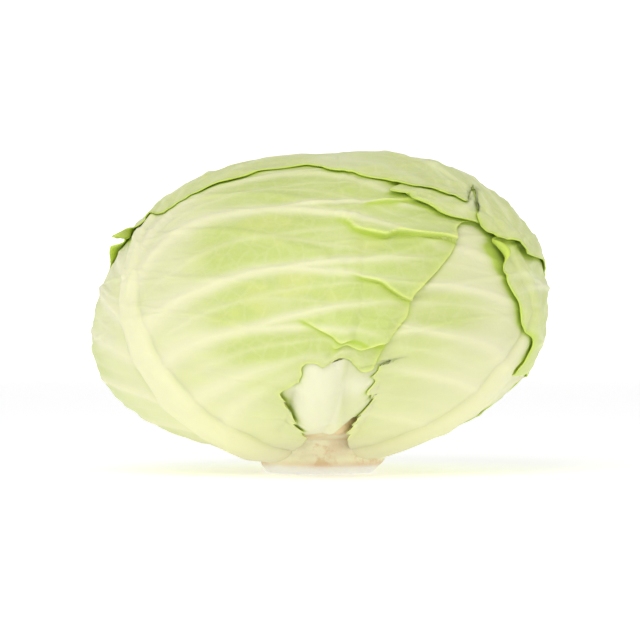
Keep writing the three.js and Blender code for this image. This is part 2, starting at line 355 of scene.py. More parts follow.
@dataclass(frozen=True)
class Leaf:
    """One outer leaf: its place on the head, its outline and everything that shapes its blade.

    The azimuth and elevation are those of its middle. Bearings go round that middle, 0 towards the
    tip and 90 towards the right, and a reach is the angle from the middle to the edge. Flat
    degrees are the same angles laid out as x across the leaf and y along it. The grid is how many
    cells its outer face has each way, and the inner face has one for each inner step. Crowding
    draws the grid's columns to the right, and rows is twice the number of strong veins on a side.
    Lengths are in millimetres. Waves is how many there are all the way round, and the edge's lift
    is how far they go out, in degrees, and up. The bright tip is a bearing, its spread and how far
    in the yellow-green of the edge reaches there. A vein path is a vein's start along the midrib,
    its rise and the distance over which it bends.
    """

    name: str
    azimuth: float
    elevation: float
    outline: tuple[tuple[float, float], ...]
    seed: int
    grid: int
    inner_step: int = 3
    crowding: float = 0.0
    row_sweep: float = 0.28
    row_bend: float = 0.35
    rows: int = 20
    rib_half_width: float = 13.0
    rib_height: float = 4.5
    rib_narrowing: float = 1.05
    rib_taper: float = 1.2
    rib_tip_width: float = 1.2
    rib_length: float = 80.0
    rib_bow: tuple[tuple[float, float], ...] = ((-90.0, 0.0), (90.0, 0.0))
    edge_lift: float = 1.0
    waves: int = 11
    vein_height: float = 0.75
    vein_paths: tuple[tuple[float, float, float], ...] = ()
    tone: Tone = Tone()
    folds: tuple[Fold, ...] = ()
    bulges: tuple[Bulge, ...] = ()
    curls: tuple[Curl, ...] = ()
    stand_offs: tuple[StandOff, ...] = ()
    notches: tuple[Notch, ...] = ()
    drifts: tuple[Drift, ...] = ()
    bright_tip: tuple[float, float, float] = (0.0, 1.0, 0.0)
    teeth: tuple[Teeth, ...] = ()
    slot: str = "pale_leaf"

    @property
    def axes(self) -> tuple[np.ndarray, np.ndarray, np.ndarray]:
        """The leaf's own axes on the head.

        Returns:
            The way out through its middle, its right and the way to its tip, all of length 1.
        """
        turn = math.radians(self.azimuth)
        out = facing(np.float64(self.azimuth), np.float64(self.elevation))
        right = np.array([math.cos(turn), math.sin(turn), 0.0])
        return out, right, np.cross(out, right)

    def blade_share(self, bearing: np.ndarray) -> np.ndarray:
        """1 over the blade and 0 at the stalk, where the edge runs smoothly into the stem."""
        return 1.0 - smooth(np.abs(bearing), 140.0, 165.0)

    def broad_reach(self, bearing: np.ndarray) -> np.ndarray:
        """The outline with its broad waves, in degrees round the head."""
        wave = self.edge_lift * np.sin(np.radians(bearing * self.waves))
        return smooth_curve(self.outline, bearing, True) + wave * self.blade_share(bearing)

    def ragged_reach(self, bearing: np.ndarray) -> np.ndarray:
        """What small waves, teeth and slits add to the outline, in degrees round the head.

        Small waves are noise round the edge. Teeth are the sharp crests of folded noise. A slit is
        a narrow wedge whose depth falls off on both sides.

        Args:
            bearing: The bearings, in degrees.

        Returns:
            Degrees round the head, less than 0 where the edge is cut back.
        """
        turn = np.radians(bearing)
        ring = np.stack([np.cos(turn), np.sin(turn), np.zeros_like(turn)], axis=-1)
        ragged = 0.4 * rough_noise(ring, 0.08, self.seed, 2) * self.blade_share(bearing)
        for row in self.teeth:
            inside = (smooth(bearing, row.start - row.fade, row.start)
                      * smooth(bearing, row.stop + row.fade, row.stop))
            crest = 1.0 - 2.0 * np.abs(lattice_noise(ring, 0.06, self.seed + 7))
            ragged = ragged + row.size * inside * crest
        for slit in self.notches:
            off = np.abs(bearing - slit.mouth) / slit.half_width
            ragged = ragged - slit.depth * np.clip(1.0 - off, 0.0, 1.0) ** 0.8
        return ragged

    def drift(self, bearing: np.ndarray, away: np.ndarray) -> np.ndarray:
        """How far torn lobes slide along the edge.

        Args:
            bearing: The bearings, in degrees.
            away: The angles from the leaf's middle, in degrees.

        Returns:
            The slides, in degrees of bearing.
        """
        slid = np.zeros_like(bearing)
        for part in self.drifts:
            path = smooth_curve(part.path, away, False)
            slid = slid + bell(bearing - part.bearing, part.spread) * path
        return slid

    def from_grid(self, u: np.ndarray, v: np.ndarray) -> tuple[np.ndarray, np.ndarray]:
        """Bends the grid's square into a disc whose rows rise beside the midrib as the veins do.

        Args:
            u: The way across, -1 to 1.
            v: The way along, -1 to 1.

        Returns:
            The bearing in degrees, and the share of the way to the edge.
        """
        rise = self.row_sweep * (1.0 - np.exp(-np.abs(u) / self.row_bend))
        lifted = v + rise * (1.0 - v * v)
        x = u * np.sqrt(1.0 - lifted * lifted / 2.0)
        y = lifted * np.sqrt(1.0 - u * u / 2.0)
        return np.degrees(np.arctan2(x, y)), np.hypot(x, y)

    def toward(self, bearing: np.ndarray, away: np.ndarray) -> np.ndarray:
        """The direction at an angle away from the leaf's middle, on a bearing.

        Args:
            bearing: The bearings, in degrees.
            away: The angles, in degrees.

        Returns:
            Unit directions from the head's middle.
        """
        out, right, tip = self.axes
        angle, turn = np.radians(away), np.radians(bearing)
        side = np.sin(turn)[..., None] * right + np.cos(turn)[..., None] * tip
        return np.cos(angle)[..., None] * out + np.sin(angle)[..., None] * side

    def away_at(self, bearing: np.ndarray, share: np.ndarray) -> np.ndarray:
        """The angle from the leaf's middle: raggedness stays near the edge."""
        return share * self.broad_reach(bearing) + share**9 * self.ragged_reach(bearing)

    def place_at(self, bearing: np.ndarray, away: np.ndarray, share: np.ndarray, edge: np.ndarray
                 ) -> Place:
        """Gathers a place on the leaf from its polar coordinates.

        Args:
            bearing: The bearings, in degrees.
            away: The angles from the leaf's middle, in degrees.
            share: The shares of the way to the edge.
            edge: The edge's angle from the middle on each bearing.

        Returns:
            The places. The distance from the midrib follows its bow and shrinks towards the pole.
        """
        mm = FORM.mm_per_degree
        turn = np.radians(bearing)
        x, y = away * np.sin(turn), away * np.cos(turn)
        angle = np.radians(np.maximum(away, 0.01))
        across = (x - smooth_curve(self.rib_bow, y, False)) * np.sin(angle) / angle * mm
        return Place(bearing, share, (away - edge) * mm, x, y, across)

    def place_of(self, toward: np.ndarray) -> Place:
        """Where directions lie on this leaf, the other way round from the grid's own path.

        Args:
            toward: Unit directions from the head's middle.

        Returns:
            The places.
        """
        out, right, tip = self.axes
        away = np.degrees(np.arccos(np.clip(toward @ out, -1.0, 1.0)))
        bearing = np.degrees(np.arctan2(toward @ right, toward @ tip))
        if self.drifts:
            bearing = bearing - self.drift(bearing - self.drift(bearing, away), away)
        broad, ragged = self.broad_reach(bearing), self.ragged_reach(bearing)
        share = np.clip(away / broad, 0.0, 1.0)
        share = np.clip((away - ragged * share**9) / broad, 0.0, 1.0)
        return self.place_at(bearing, away, share, broad + ragged)

    def rib(self, place: Place) -> np.ndarray:
        """The midrib's height: a flat-topped ridge, broad and thick at the stalk, gone at the tip.

        A shallow groove runs along each of its sides.

        Args:
            place: Where on the leaf.

        Returns:
            The height in millimetres, a little under 0 in the grooves.
        """
        toward_stalk = np.clip((1.0 - place.y / self.rib_length) / 2.0, 0.0, 1.0)
        tip_width = self.rib_tip_width
        half_width = tip_width + (self.rib_half_width - tip_width) * toward_stalk**self.rib_narrowing
        share = np.clip(np.abs(place.across) / half_width, 0.0, 1.0)
        thick = self.rib_height * toward_stalk**self.rib_taper
        groove = 0.12 * thick * bell(np.abs(place.across) - half_width - 0.4, 1.6)
        return thick * (1.0 - share**3) ** 1.1 - groove

    def swelling(self, place: Place) -> np.ndarray:
        """The height of the blade's round swellings: each one falls from its middle as a dome.

        Args:
            place: Where on the leaf.

        Returns:
            The height in millimetres.
        """
        height = np.zeros_like(place.x)
        for part in self.bulges:
            away = np.hypot((place.x - part.x) / part.half_width, (place.y - part.y) / part.half_length)
            height = height + part.height * (1.0 - np.clip(away, 0.0, 1.0) ** 2) ** 1.6
        return height

    def veins(self, place: Place) -> tuple[np.ndarray, np.ndarray]:
        """The side veins, as relief and as paleness.

        Each vein leaves the midrib, rises along the leaf as 1 - exp(-distance) and flattens, then
        forks into two. Strong veins take turns with weak ones that start further out.

        Args:
            place: Where on the leaf.

        Returns:
            The relief and the paleness, each 0 to 1.
        """
        draw = np.random.default_rng(self.seed)
        relief = np.zeros_like(place.x)
        pale = np.zeros_like(place.x)
        off = place.x - smooth_curve(self.rib_bow, place.y, False)
        run = np.abs(off)
        fade = 1.0 - place.share**5
        for side, strong, first, rise, bend in self.vein_starts(draw):
            here = smooth(side * off, -1.0, 1.5)
            fork = draw.uniform(34.0, 52.0)
            spread = draw.uniform(0.10, 0.18)
            sway = 0.6 * np.sin(run / draw.uniform(7.0, 10.0) + draw.uniform(0.0, 6.0))
            path = first + rise * (1.0 - np.exp(-run / bend)) + sway * smooth(run, 4.0, 18.0)
            tilt = np.hypot(1.0, rise / bend * np.exp(-run / bend))
            parting = spread * np.maximum(run - fork, 0.0) ** 1.1
            gap = np.minimum(np.abs(place.y - path - parting), np.abs(place.y - path + 0.7 * parting))
            apart = gap * FORM.mm_per_degree / tilt
            width = (1.2 + 2.6 * np.exp(-run / 26.0)) if strong else (0.8 + 0.5 * np.exp(-run / 30.0))
            power = fade * here * (1.0 if strong else 0.28 * smooth(run, 5.0, 16.0))
            relief = np.maximum(relief, power * bell(apart, width))
            pale = np.maximum(pale, power * bell(apart, 2.0 * width))
        return relief, pale

    def vein_starts(self, draw: np.random.Generator) -> list[tuple[float, bool, float, float, float]]:
        """Where each side vein starts on the midrib and how it rises.

        The right side follows the leaf's own paths where it has some. Elsewhere the strong veins
        are evenly spread, and weak ones lie between them.

        Args:
            draw: The leaf's random numbers.

        Returns:
            The side, whether it is a strong vein, its start along the midrib, its rise and the
            distance over which it bends, in degrees.
        """
        starts = [(1.0, True, *path) for path in self.vein_paths]
        for side in (-1.0, 1.0):
            if side > 0.0 and self.vein_paths:
                middles = zip(self.vein_paths[:-1], self.vein_paths[1:])
                starts += [(1.0, False, *(0.5 * (a + b) for a, b in zip(*pair))) for pair in middles]
                continue
            for row in range(1, self.rows):
                start = -1.0 + 2.0 * row / self.rows
                reach = self.outline_tip if start > 0.0 else self.outline_base
                first = start * reach + draw.uniform(-1.6, 1.6)
                rise = 24.0 * (1.0 - start * start) * draw.uniform(0.9, 1.1)
                starts.append((side, row % 2 == 1, first, rise, 28.0))
        return starts

    @property
    def outline_tip(self) -> float:
        """How far the blade reaches towards its tip, in degrees."""
        return float(smooth_curve(self.outline, np.array([0.0]), True)[0])

    @property
    def outline_base(self) -> float:
        """How far it reaches towards its stalk, in degrees."""
        return float(smooth_curve(self.outline, np.array([180.0]), True)[0])

    def lift(self, place: Place) -> np.ndarray:
        """How far the blade stands off what is under it: its waved edge and where it stands away.

        Args:
            place: Where on the leaf.

        Returns:
            The height in millimetres.
        """
        edge = smooth(place.share, 0.72, 1.0) * self.blade_share(place.bearing)
        wave = 0.6 + 0.4 * np.cos(np.radians(place.bearing * self.waves))
        height = 0.55 * self.edge_lift * edge * wave
        for part in self.stand_offs:
            height = height + part.height * bell(place.bearing - part.bearing, part.spread) * edge
        return height

    def fold_form(self, place: Place) -> tuple[np.ndarray, np.ndarray, np.ndarray, np.ndarray]:
        """Works out the folds, whose upper lip laps down over the blade below.

        Along a fold, the lip grows from the root. Behind the crease the upper lip falls away
        slowly, and in front of it steeply. The slide carries the lip over the blade below, where
        little light comes, and that blade gets painted shade. The lip's crest gets a painted highlight.

        Args:
            place: Where on the leaf.

        Returns:
            The height in millimetres, the slide in flat degrees, and the painted shade below the lip and
            the painted highlight on its crest, both 0 to 1.
        """
        mm = FORM.mm_per_degree
        height = np.zeros_like(place.x)
        slide = np.zeros_like(place.x)
        shade = np.zeros_like(place.x)
        lip = np.zeros_like(place.x)
        for fold in self.folds:
            start, end = fold.path[0][0], fold.path[-1][0]
            off = (place.y - smooth_curve(fold.path, place.x, False)) * mm
            run = (place.x - start) / (end - start)
            grown = smooth(run, 0.0, 0.5) * (1.0 - smooth(run, 1.0, 1.2))
            rising = smooth(off, -fold.steep, 0.0)
            behind = np.maximum(off, 0.0)
            height = height + fold.height * grown * rising * np.exp(-behind / fold.back)
            slide = slide + fold.overhang / mm * grown * rising * np.exp(-behind / 6.0)
            below = (1.0 - rising) * np.exp((off + fold.steep) / 2.0)
            shade = np.maximum(shade, smooth(run, 0.0, 0.25) * below)
            lip = np.maximum(lip, grown * bell(off + 0.2, 0.9))
        return height, slide, np.clip(shade, 0.0, 1.0), lip

    def tip_glow(self, bearing: np.ndarray) -> np.ndarray:
        """How many millimetres further in the yellow-green of the edge reaches."""
        middle, spread, reach = self.bright_tip
        return reach * bell(bearing - middle, spread)

    def greenness(self, place: Place, pale: np.ndarray) -> np.ndarray:
        """How green the blade is: more away from the midrib and up the leaf, in soft blotches.

        Args:
            place: Where on the leaf.
            pale: How pale the ribs and veins are there, 0 to 1.

        Returns:
            The greenness, 0 to 1.
        """
        off = np.abs(place.x - smooth_curve(self.rib_bow, place.y, False))
        spots = rough_noise(flat_places(place.x, place.y * 1.8), 17.0, self.seed + 20, 3)
        grown = smooth(off, *self.tone.from_rib) * (0.35 + 0.65 * smooth(place.y, *self.tone.up_leaf))
        green = self.tone.least + (self.tone.most - self.tone.least) * grown
        return np.clip(green + self.tone.blotch * spots * (0.3 + grown), 0.0, 1.0) * (1.0 - 0.55 * pale)


FORM = HeadForm()


@dataclass(frozen=True)
class SecondRib:
    """The rib low on the front of the inner head, right of the stout one of the leaf over it.

    Its half width and height are in millimetres. It rises between two elevations and ends between
    two others.
    """

    azimuth: float = 12.5
    half_width: float = 8.0
    height: float = 4.4
    rises: tuple[float, float] = (-16.0, -30.0)
    ends: tuple[float, float] = (-62.0, -52.0)

    def height_at(self, toward: np.ndarray) -> np.ndarray:
        """How far the rib stands over the skin: a dome across, with smooth ends.

        Args:
            toward: Unit directions from the head's middle.

        Returns:
            The height in millimetres.
        """
        elevation = np.degrees(np.arcsin(np.clip(toward[..., 2], -1.0, 1.0)))
        azimuth = np.degrees(np.arctan2(toward[..., 0], -toward[..., 1]))
        across = (azimuth - self.azimuth) * np.cos(np.radians(elevation)) * FORM.mm_per_degree
        share = np.clip(np.abs(across) / self.half_width, 0.0, 1.0)
        grown = smooth(elevation, *self.rises) * smooth(elevation, *self.ends)
        return self.height * grown * (1.0 - share * share) ** 1.3


SECOND_RIB = SecondRib()


class MeshMaker:
    """Puts numpy surfaces into Blender meshes."""

    @staticmethod
    def make(name: str, points: np.ndarray, faces: Iterable[np.ndarray]) -> bpy.types.Object:
        """Makes one smooth mesh piece at the origin.

        Args:
            name: The piece's name.
            points: Its vertices in millimetres, one a row.
            faces: Arrays of faces, each with one face a row and as many columns as corners.

        Returns:
            The new object, linked to the scene.
        """
        faces = [np.asarray(part, np.int32) for part in faces if len(part)]
        corners = np.concatenate([part.ravel() for part in faces])
        sizes = np.concatenate([np.full(len(part), part.shape[1], np.int32) for part in faces])
        mesh = bpy.data.meshes.new(name)
        mesh.vertices.add(len(points))
        mesh.vertices.foreach_set("co", (points * METRES_PER_MM).astype(np.float32).ravel())
        mesh.loops.add(len(corners))
        mesh.loops.foreach_set("vertex_index", corners)
        mesh.polygons.add(len(sizes))
        mesh.polygons.foreach_set("loop_start", np.cumsum(sizes) - sizes)
        mesh.update(calc_edges=True)
        mesh.polygons.foreach_set("use_smooth", np.ones(len(sizes), bool))
        mesh.validate()
        piece = bpy.data.objects.new(name, mesh)
        bpy.context.scene.collection.objects.link(piece)
        return piece

    @staticmethod
    def paint(piece: bpy.types.Object, **fields: np.ndarray) -> None:
        """Stores one number a vertex under each name, for the materials to read.

        Args:
            piece: The piece.
            fields: The numbers, by the attribute's name.
        """
        for name, values in fields.items():
            layer = piece.data.attributes.new(name, "FLOAT", "POINT")
            layer.data.foreach_set("value", np.asarray(values, np.float32).ravel())

    @staticmethod
    def lay_out(piece: bpy.types.Object, u: np.ndarray, v: np.ndarray) -> None:
        """Gives the piece a UV map from one pair of coordinates a vertex.

        Args:
            piece: The piece.
            u: The first coordinates.
            v: The second ones.
        """
        layer = piece.data.uv_layers.new(name="blade")
        corner = np.empty(len(piece.data.loops), np.int32)
        piece.data.loops.foreach_get("vertex_index", corner)
        pairs = np.stack([u[corner], v[corner]], axis=-1)
        layer.data.foreach_set("uv", pairs.astype(np.float32).ravel())


@dataclass
class LeafWrap:
    """The outer leaves, from the innermost to the outermost, each resting over those inside it.

    The blade's thickness and the air under it are in millimetres, and so are the height and pitch
    of the blisters between the veins.
    """

    leaves: tuple[Leaf, ...]
    blade: float = 0.75
    air_gap: float = 0.22
    cover_margin: float = 1.0
    cover_fall: float = 13.0
    pressed_depth: float = 22.0
    blister: float = 0.34
    blister_pitch: float = 9.0
    midrib_crowding: float = 1.1

    def shown(self, index: int, toward: np.ndarray) -> np.ndarray:
        """How open directions are to the air, past the leaves outside this one.

        Args:
            index: Which leaf.
            toward: Unit directions.

        Returns:
            1 where no outer leaf lies over a direction, and 0 well under one.
        """
        open_share = np.ones(toward.shape[:-1])
        for outer in self.leaves[index + 1:]:
            past = outer.place_of(toward).past
            open_share = np.minimum(open_share, smooth(past, -self.pressed_depth, 0.0))
        return open_share

    def nook(self, index: int, toward: np.ndarray) -> np.ndarray:
        """Finds the painted shade under the leaves outside this one, a darker green put into the colour.

        It fades just beyond their edges, and reaches further where an edge stands further off.

        Args:
            index: Which leaf.
            toward: Unit directions.

        Returns:
            The shade, 0 to 1.
        """
        depth = np.zeros(toward.shape[:-1])
        for outer in self.leaves[index + 1:]:
            place = outer.place_of(toward)
            reach = 0.7 + 0.9 * outer.lift(place)
            depth = np.maximum(depth, np.exp(-np.maximum(place.past, 0.0) / reach))
        return depth

    def skin(self, leaf: Leaf, place: Place) -> np.ndarray:
        """How far the outer face stands over the inner one.

        Blade, midrib, swellings and side veins add up, and the blade between the veins is blistered.

        Args:
            leaf: The leaf.
            place: Where on it.

        Returns:
            The thickness in millimetres.
        """
        relief, _ = leaf.veins(place)
        thin = 1.0 - 0.35 * smooth(place.share, 0.85, 1.0)
        veins = leaf.vein_height * relief * (0.35 + 0.65 * thin)
        between = (1.0 - relief) * smooth(np.abs(place.across), 8.0, 20.0)
        uneven = rough_noise(flat_places(place.x, 2.0 * place.y), self.blister_pitch, leaf.seed + 40, 2)
        blisters = self.blister * between * uneven
        return self.blade * thin + leaf.rib(place) + leaf.swelling(place) + veins + blisters * thin

    def top(self, index: int, toward: np.ndarray) -> np.ndarray:
        """The height of everything inside a leaf.

        Each leaf adds its own height where it lies, and past its edge the stack sinks back to what
        is inside it over a short fall.

        Args:
            index: The leaf that will rest on it.
            toward: Unit directions.

        Returns:
            Millimetres over the inner head's skin.
        """
        height = SECOND_RIB.height_at(toward)
        for i, leaf in enumerate(self.leaves[:index]):
            place = leaf.place_of(toward)
            folds, *_ = leaf.fold_form(place)
            own = height + self.air_gap + (leaf.lift(place) + folds) * self.shown(i, toward)
            cover = 1.0 - smooth(place.past, self.cover_margin, self.cover_margin + self.cover_fall)
            height = height + (own + self.skin(leaf, place) - height) * cover
        return height

    def surface(self, index: int, u: np.ndarray, v: np.ndarray) -> dict[str, np.ndarray]:
        """Works out one leaf's two faces.

        The grid becomes polar coordinates on the head. Where the edge curls, the last stretch of
        the way out follows a circle that lifts it and turns it back. The inner face rests on the
        leaves inside, and the outer face stands over it along the turned normal. Under a fold the
        inner face stays down, and follows the fold only where it meets the edge.

        Args:
            index: Which leaf.
            u: The grid's way across.
            v: The grid's way along.

        Returns:
            The outer and inner points, and the fields that colour them.
        """
        leaf = self.leaves[index]
        bearing, share = leaf.from_grid(u, v)
        away = leaf.away_at(bearing, share)
        edge = leaf.away_at(bearing, np.ones_like(share))
        place = leaf.place_at(bearing, away, share, edge)
        folds, slide, shade, lip = leaf.fold_form(place)
        turned, raised, angle = self.curled(leaf, bearing, away, edge)
        slid = bearing + leaf.drift(bearing, away)
        x = turned * np.sin(np.radians(slid))
        y = turned * np.cos(np.radians(slid)) - slide
        moved = leaf.toward(np.degrees(np.arctan2(x, y)), np.hypot(x, y))
        open_share = self.shown(index, moved)
        rest = self.top(index, moved) + self.air_gap
        height = rest + leaf.lift(place) * open_share + raised
        folded = folds * open_share
        inner = FORM.point(moved, height + folded * share**16)
        normal = FORM.outward(moved)
        ahead = leaf.toward(slid, away + 1.0) - leaf.toward(slid, away)
        ahead = ahead * np.array([FORM.half_width, FORM.half_depth, FORM.crown])
        ahead = unit(ahead - np.sum(ahead * normal, axis=-1, keepdims=True) * normal)
        leaning = np.cos(angle)[..., None] * normal - np.sin(angle)[..., None] * ahead
        _, pale = leaf.veins(place)
        outer = FORM.point(moved, height + folded) + leaning * self.skin(leaf, place)[..., None]
        pale = np.maximum(pale, smooth(leaf.rib(place) + leaf.swelling(place), 0.0, 1.2))
        edge_tint = np.exp(place.past / (1.1 + leaf.tip_glow(bearing))) * leaf.blade_share(bearing)
        return {
            "outer": outer,
            "inner": inner,
            "pale": pale,
            "green": leaf.greenness(place, pale),
            # edge field: the margin's yellow-green plus a painted highlight along each fold's lip
            "edge": np.maximum(lip, edge_tint),
            # painted shade: dark green below fold lips and under the outer leaves' edges
            "nook": np.maximum(shade * (1.0 - lip), self.nook(index, moved)),
            "base": smooth(place.y, -64.0, -88.0),
            "x": place.x,
            "y": place.y,
        }

    def curled(self, leaf: Leaf, bearing: np.ndarray, away: np.ndarray, edge: np.ndarray
               ) -> tuple[np.ndarray, np.ndarray, np.ndarray]:
        """Rolls the edge outward where the leaf has curls.

        Args:
            leaf: The leaf.
            bearing: The bearings, in degrees.
            away: The angles from the leaf's middle before the roll.
            edge: The edge's angle on each bearing.

        Returns:
            The angle from the middle after the roll, the height gained in millimetres, and how far
            the blade has turned, in radians.
        """
        mm = FORM.mm_per_degree
        turned = away.copy()
        raised = np.zeros_like(away)
        angle = np.zeros_like(away)
        for curl in leaf.curls:
            length = curl.length * bell(bearing - curl.bearing, curl.spread)
            into = np.maximum(away * mm - (edge * mm - length), 0.0)
            turn = into / curl.radius
            turned = turned - into / mm + curl.radius * np.sin(turn) / mm
            raised = raised + curl.radius * (1.0 - np.cos(turn))
            angle = angle + turn
        return turned, raised, angle

    def build(self, index: int) -> bpy.types.Object:
        """Makes one leaf as a closed mesh: a fine outer face, a coarser inner one and a rim.

        Each edge of the inner grid meets several of the outer grid, and one many-cornered face
        joins them.

        Args:
            index: Which leaf.

        Returns:
            The leaf's object.
        """
        leaf = self.leaves[index]
        n, step = leaf.grid, leaf.inner_step
        line = np.linspace(-1.0, 1.0, n + 1)
        crowded = np.sign(line) * np.abs(line) ** self.midrib_crowding
        shifted = crowded + leaf.crowding * (1.0 - crowded * crowded)
        u, v = np.meshgrid(shifted, line)
        form = self.surface(index, u, v)
        width = n + 1
        coarse = n // step + 1
        kept = (np.arange(coarse)[:, None] * step * width + np.arange(coarse)[None, :] * step).ravel()
        outer = form["outer"].reshape(-1, 3)
        inner = form["inner"].reshape(-1, 3)[kept]
        points = np.concatenate([outer, inner])
        underside = grid_faces(n // step)[:, ::-1] + len(outer)
        faces = [grid_faces(n), underside, rim_faces(n, step, len(outer))]
        piece = MeshMaker.make(leaf.name.replace("leaf", "blade", 1), points, faces)
        fields = {key: np.concatenate([form[key].ravel(), form[key].ravel()[kept]])
                  for key in ("pale", "green", "edge", "base", "nook", "x", "y")}
        x, y = fields.pop("x"), fields.pop("y")
        under = np.concatenate([np.zeros(len(outer)), np.ones(len(inner))])
        MeshMaker.paint(piece, under=under, **fields)
        MeshMaker.lay_out(piece, 0.5 + x / UV_SPAN_DEGREES, 0.5 + y / UV_SPAN_DEGREES)
        return piece


def grid_faces(n: int) -> np.ndarray:
    """The four-cornered faces of a square grid of n by n cells, rows of n + 1 vertices.

    Args:
        n: The cells along a side.

    Returns:
        One face a row.
    """
    row, column = np.mgrid[0:n, 0:n]
    first = (row * (n + 1) + column).ravel()
    return np.stack([first, first + 1, first + n + 2, first + n + 1], axis=-1)


def ring_faces(rings: int, spokes: int) -> np.ndarray:
    """The four-cornered faces between rings of vertices, each ring closed on itself.

    Args:
        rings: How many rings there are.
        spokes: How many vertices each has.

    Returns:
        One face a row.
    """
    row, column = np.mgrid[0:rings - 1, 0:spokes]
    first = row * spokes + column
    second = row * spokes + (column + 1) % spokes
    return np.stack([first, second, second + spokes, first + spokes], axis=-1).reshape(-1, 4)


def cap_faces(rings: int, spokes: int) -> tuple[np.ndarray, np.ndarray]:
    """The triangles that close the first and the last ring, each round a vertex of its own.

    Those two vertices come after all the rings, the first ring's before the last ring's.

    Args:
        rings: How many rings there are.
        spokes: How many vertices each has.

    Returns:
        The first ring's triangles and the last ring's, one a row.
    """
    spoke = np.arange(spokes)
    beside = (spoke + 1) % spokes
    last = (rings - 1) * spokes
    middle = np.full_like(spoke, rings * spokes)
    first_cap = np.stack([beside, spoke, middle], axis=-1)
    last_cap = np.stack([last + spoke, last + beside, middle + 1], axis=-1)
    return first_cap, last_cap


def rim_faces(n: int, step: int, start: int) -> np.ndarray:
    """The faces between a fine grid's border and that of a grid with every step-th line.

    Args:
        n: The fine grid's cells along a side.
        step: How many of its cells each coarse cell spans.
        start: The index of the coarse grid's first vertex.

    Returns:
        One face a row: a coarse edge, then the fine edges back along it.
    """
    side = np.arange(n)
    width = n + 1
    fine = np.concatenate([side, side * width + n, n * width + n - side, (n - side) * width])
    m = n // step
    edge = np.arange(m)
    wide = m + 1
    rough = np.concatenate([edge, edge * wide + m, m * wide + m - edge, (m - edge) * wide]) + start
    strips = np.stack([np.roll(fine, -k)[::step] for k in range(step, -1, -1)], axis=-1)
    return np.concatenate([rough[:, None], np.roll(rough, -1)[:, None], strips], axis=-1)


@dataclass(frozen=True)
class InnerHead:
    """The tight inner head, with the second rib and the steps of its own leaves' edges.

    A step is given by its leaf's azimuth, its elevation and how far that leaf reaches, in degrees.
    Sizes are in millimetres. The browned place is given by its azimuth and elevation and its spread
    both ways.
    """

    rings: int = 120
    spokes: int = 240
    sink: float = 0.15
    lowest: float = 15.0
    step_height: float = 1.1
    steps: tuple[tuple[float, float, float], ...] = (
        (142.0, 20.0, 82.0), (-80.0, 20.0, 78.0), (57.0, 25.0, 70.0),
    )
    browned: tuple[float, float, float, float] = (14.0, -48.0, 11.0, 8.0)

    def build(self) -> bpy.types.Object:
        """Makes the ball on a grid of azimuth and elevation, closed at both poles.

        Returns:
            The ball's object.
        """
        azimuth = np.linspace(-180.0, 180.0, self.spokes, endpoint=False)
        elevation = np.linspace(-90.0, 90.0, self.rings + 2)[1:-1]
        toward = facing(*np.meshgrid(azimuth, elevation)).reshape(-1, 3)
        toward = np.concatenate([toward, [[0.0, 0.0, -1.0], [0.0, 0.0, 1.0]]])
        rib = SECOND_RIB.height_at(toward)
        height = rib - self.sink
        for step_azimuth, step_elevation, reach in self.steps:
            middle = facing(np.float64(step_azimuth), np.float64(step_elevation))
            away = np.degrees(np.arccos(np.clip(toward @ middle, -1.0, 1.0)))
            height = height - self.step_height * smooth((away - reach) * FORM.mm_per_degree, -1.0, 1.0)
        points = FORM.point(toward, height)
        points[:, 2] = np.maximum(points[:, 2], self.lowest)
        faces = [ring_faces(self.rings, self.spokes), *cap_faces(self.rings, self.spokes)]
        piece = MeshMaker.make("packed_heart", points, faces)
        tilt = np.degrees(np.arcsin(np.clip(toward[:, 2], -1.0, 1.0)))
        turn = np.degrees(np.arctan2(toward[:, 0], -toward[:, 1]))
        brown_turn, brown_tilt, wide, high = self.browned
        patchy = smooth(rough_noise(points, 9.0, 31, 3), -0.7, 0.3)
        tan = bell(turn - brown_turn, wide) * bell(tilt - brown_tilt, high)
        tan = 0.85 * (tan + smooth(tilt, -50.0, -60.0) * patchy)
        # painted shadow: dark olive low on the front, in the gap under the front-left leaf's torn edge
        painted_gap_shadow = bell(turn + 10.0, 7.0) * smooth(tilt, -47.0, -53.0)
        MeshMaker.paint(piece, pale=rib / SECOND_RIB.height, green=0.25 * smooth(tilt, -40.0, 20.0),
                        base=smooth(tilt, -40.0, -56.0), tan=np.clip(tan, 0.0, 1.0), nook=painted_gap_shadow)
        MeshMaker.lay_out(piece, 0.5 + turn / 400.0, 0.5 + tilt / 400.0)
        return piece


